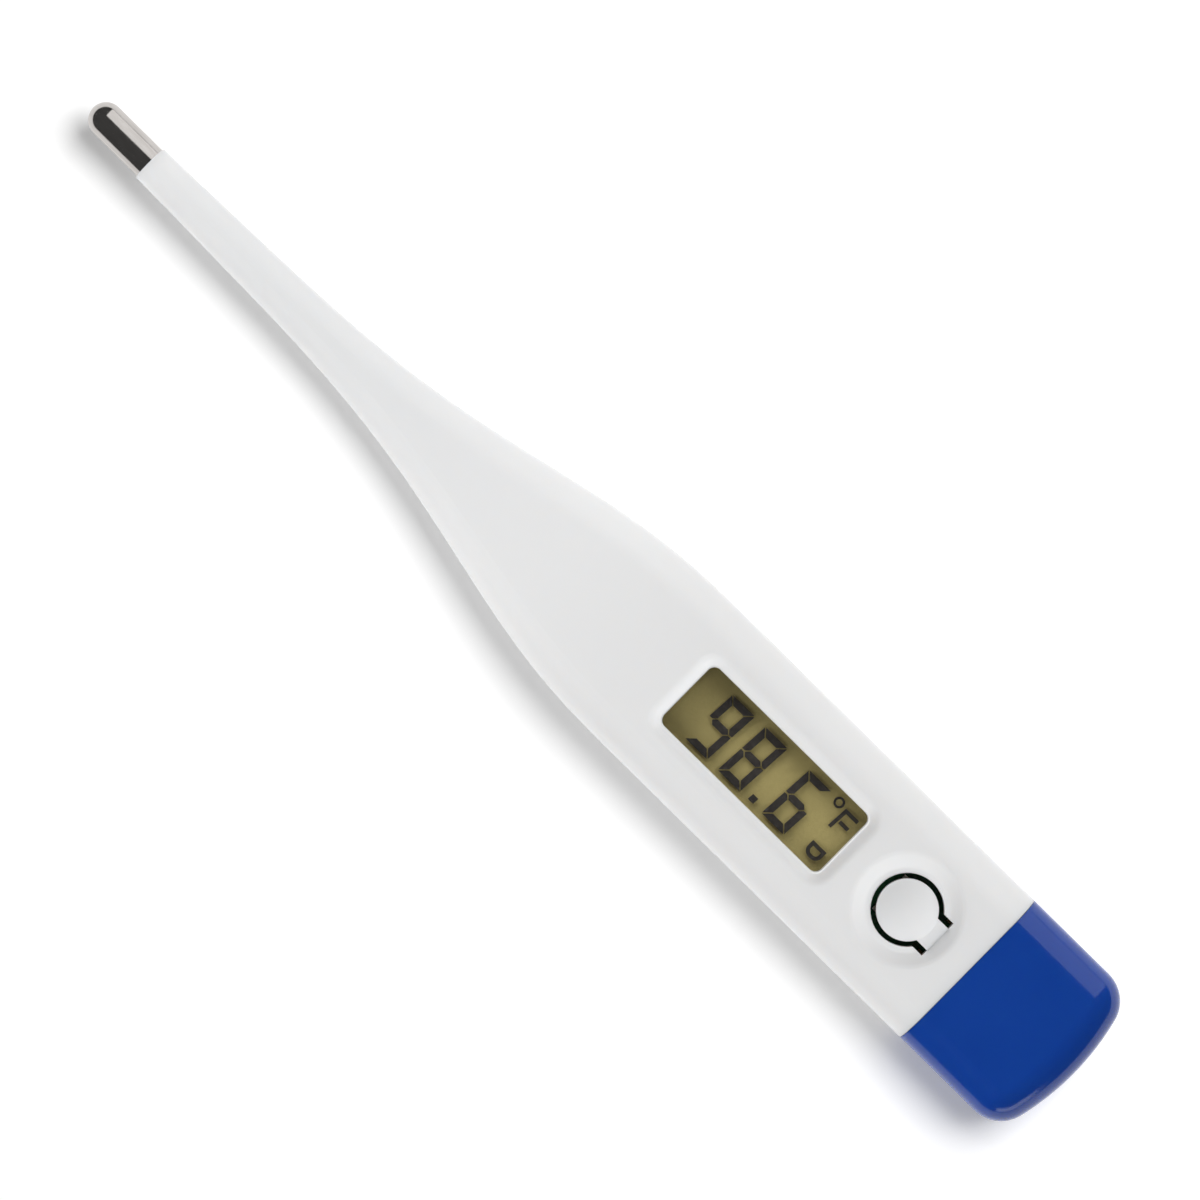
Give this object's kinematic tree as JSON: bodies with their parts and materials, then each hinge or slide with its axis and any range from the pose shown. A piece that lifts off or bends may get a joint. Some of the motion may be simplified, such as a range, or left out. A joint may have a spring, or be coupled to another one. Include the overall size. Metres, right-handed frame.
{
  "type": "digital thermometer",
  "caption": "Rigid stick thermometer with a steel-tipped stem, a numeric display, a hinged push button and a pull-off battery cover over a slide-out circuit carrier.",
  "frame": {"origin": "on the plane of the flat underside, below the middle of the thermometer's length", "axes": "+X from the steel probe tip to the battery cover, +Y up for a reader of the display, +Z up out of the display"},
  "size_m": [0.127, 0.0176, 0.0103],
  "materials": {
    "white_plastic": "smooth glossy white ABS",
    "clear_plastic": "clear moulded acrylic",
    "polished_steel": "polished stainless steel",
    "potting_epoxy": "amber cast epoxy",
    "bead_glass": "glass-coated bead",
    "wire_insulation": "red enamel insulation",
    "tray_plastic": "moulded light grey ABS",
    "board_laminate": "green solder-masked laminate",
    "display_glass": "thin flat glass",
    "polarizer_film": "tinted polarising film",
    "reflector_film": "olive reflective film",
    "segment_ink": "dark switched liquid crystal",
    "zebra_rubber": "striped conductive silicone",
    "potting_black": "black glob-top epoxy",
    "resistor_ceramic": "black chip body",
    "capacitor_ceramic": "tan chip body",
    "black_plastic": "moulded black nylon",
    "switch_plastic": "moulded red acetal",
    "spring_metal": "nickel-plated spring strip",
    "plate_brass": "rolled brass sheet",
    "piezo_ceramic": "silvered piezo ceramic",
    "cell_nickel": "nickel-plated steel",
    "seal_nylon": "moulded nylon",
    "solder_tin": "bright solder",
    "blue_plastic": "glossy royal blue ABS"
  },
  "bodies": {
    "housing": {"housing": "white_plastic", "window_lens": "clear_plastic", "probe_tip": "polished_steel", "tip_epoxy": "potting_epoxy", "thermistor": "bead_glass", "thermistor_leads": "wire_insulation"},
    "power_button": {"power_button": "white_plastic"},
    "carriage": {"carrier": "tray_plastic", "circuit_board": "board_laminate", "lcd_front_glass": "display_glass", "lcd_rear_glass": "display_glass", "lcd_polarizer": "polarizer_film", "lcd_reflector": "reflector_film", "lcd_segments": "segment_ink", "zebra_strips": "zebra_rubber", "controller_blob": "potting_black", "chip_resistors": "resistor_ceramic", "chip_capacitors": "capacitor_ceramic", "switch_base": "black_plastic", "switch_cover": "spring_metal", "switch_dome": "spring_metal", "buzzer_plate": "plate_brass", "buzzer_ceramic": "piezo_ceramic", "buzzer_wires": "wire_insulation", "battery_can": "cell_nickel", "battery_gasket": "seal_nylon", "battery_lid": "cell_nickel", "contact_negative": "spring_metal", "contact_positive": "spring_metal", "solder_joints": "solder_tin"},
    "switch_plunger": {"switch_plunger": "switch_plastic"},
    "battery_cap": {"battery_cap": "blue_plastic"}
  },
  "joints": [
    {"name": "button_press", "type": "hinge", "parent": "housing", "child": "power_button", "pos_m": [0.0457, 0, 0.0094], "axis": [0, -1, 0], "range_deg": [0, 5], "stiffness_Nm_per_rad": 0.087},
    {"name": "carrier_slide", "type": "slide", "parent": "housing", "child": "carriage", "axis": [1, 0, 0], "range_m": [0, 0.009], "deforming": ["thermistor_leads"]},
    {"name": "cover_slide", "type": "slide", "parent": "carriage", "child": "battery_cap", "axis": [1, 0, 0], "range_m": [0, 0.016]},
    {"name": "switch_travel", "type": "slide", "parent": "carriage", "child": "switch_plunger", "axis": [0, 0, -1], "range_m": [0, 0.00036], "deforming": ["switch_dome"]}
  ],
  "couplings": [
    {"joint": "switch_travel", "follows": "button_press", "m_per_rad": 0.0039}
  ]
}
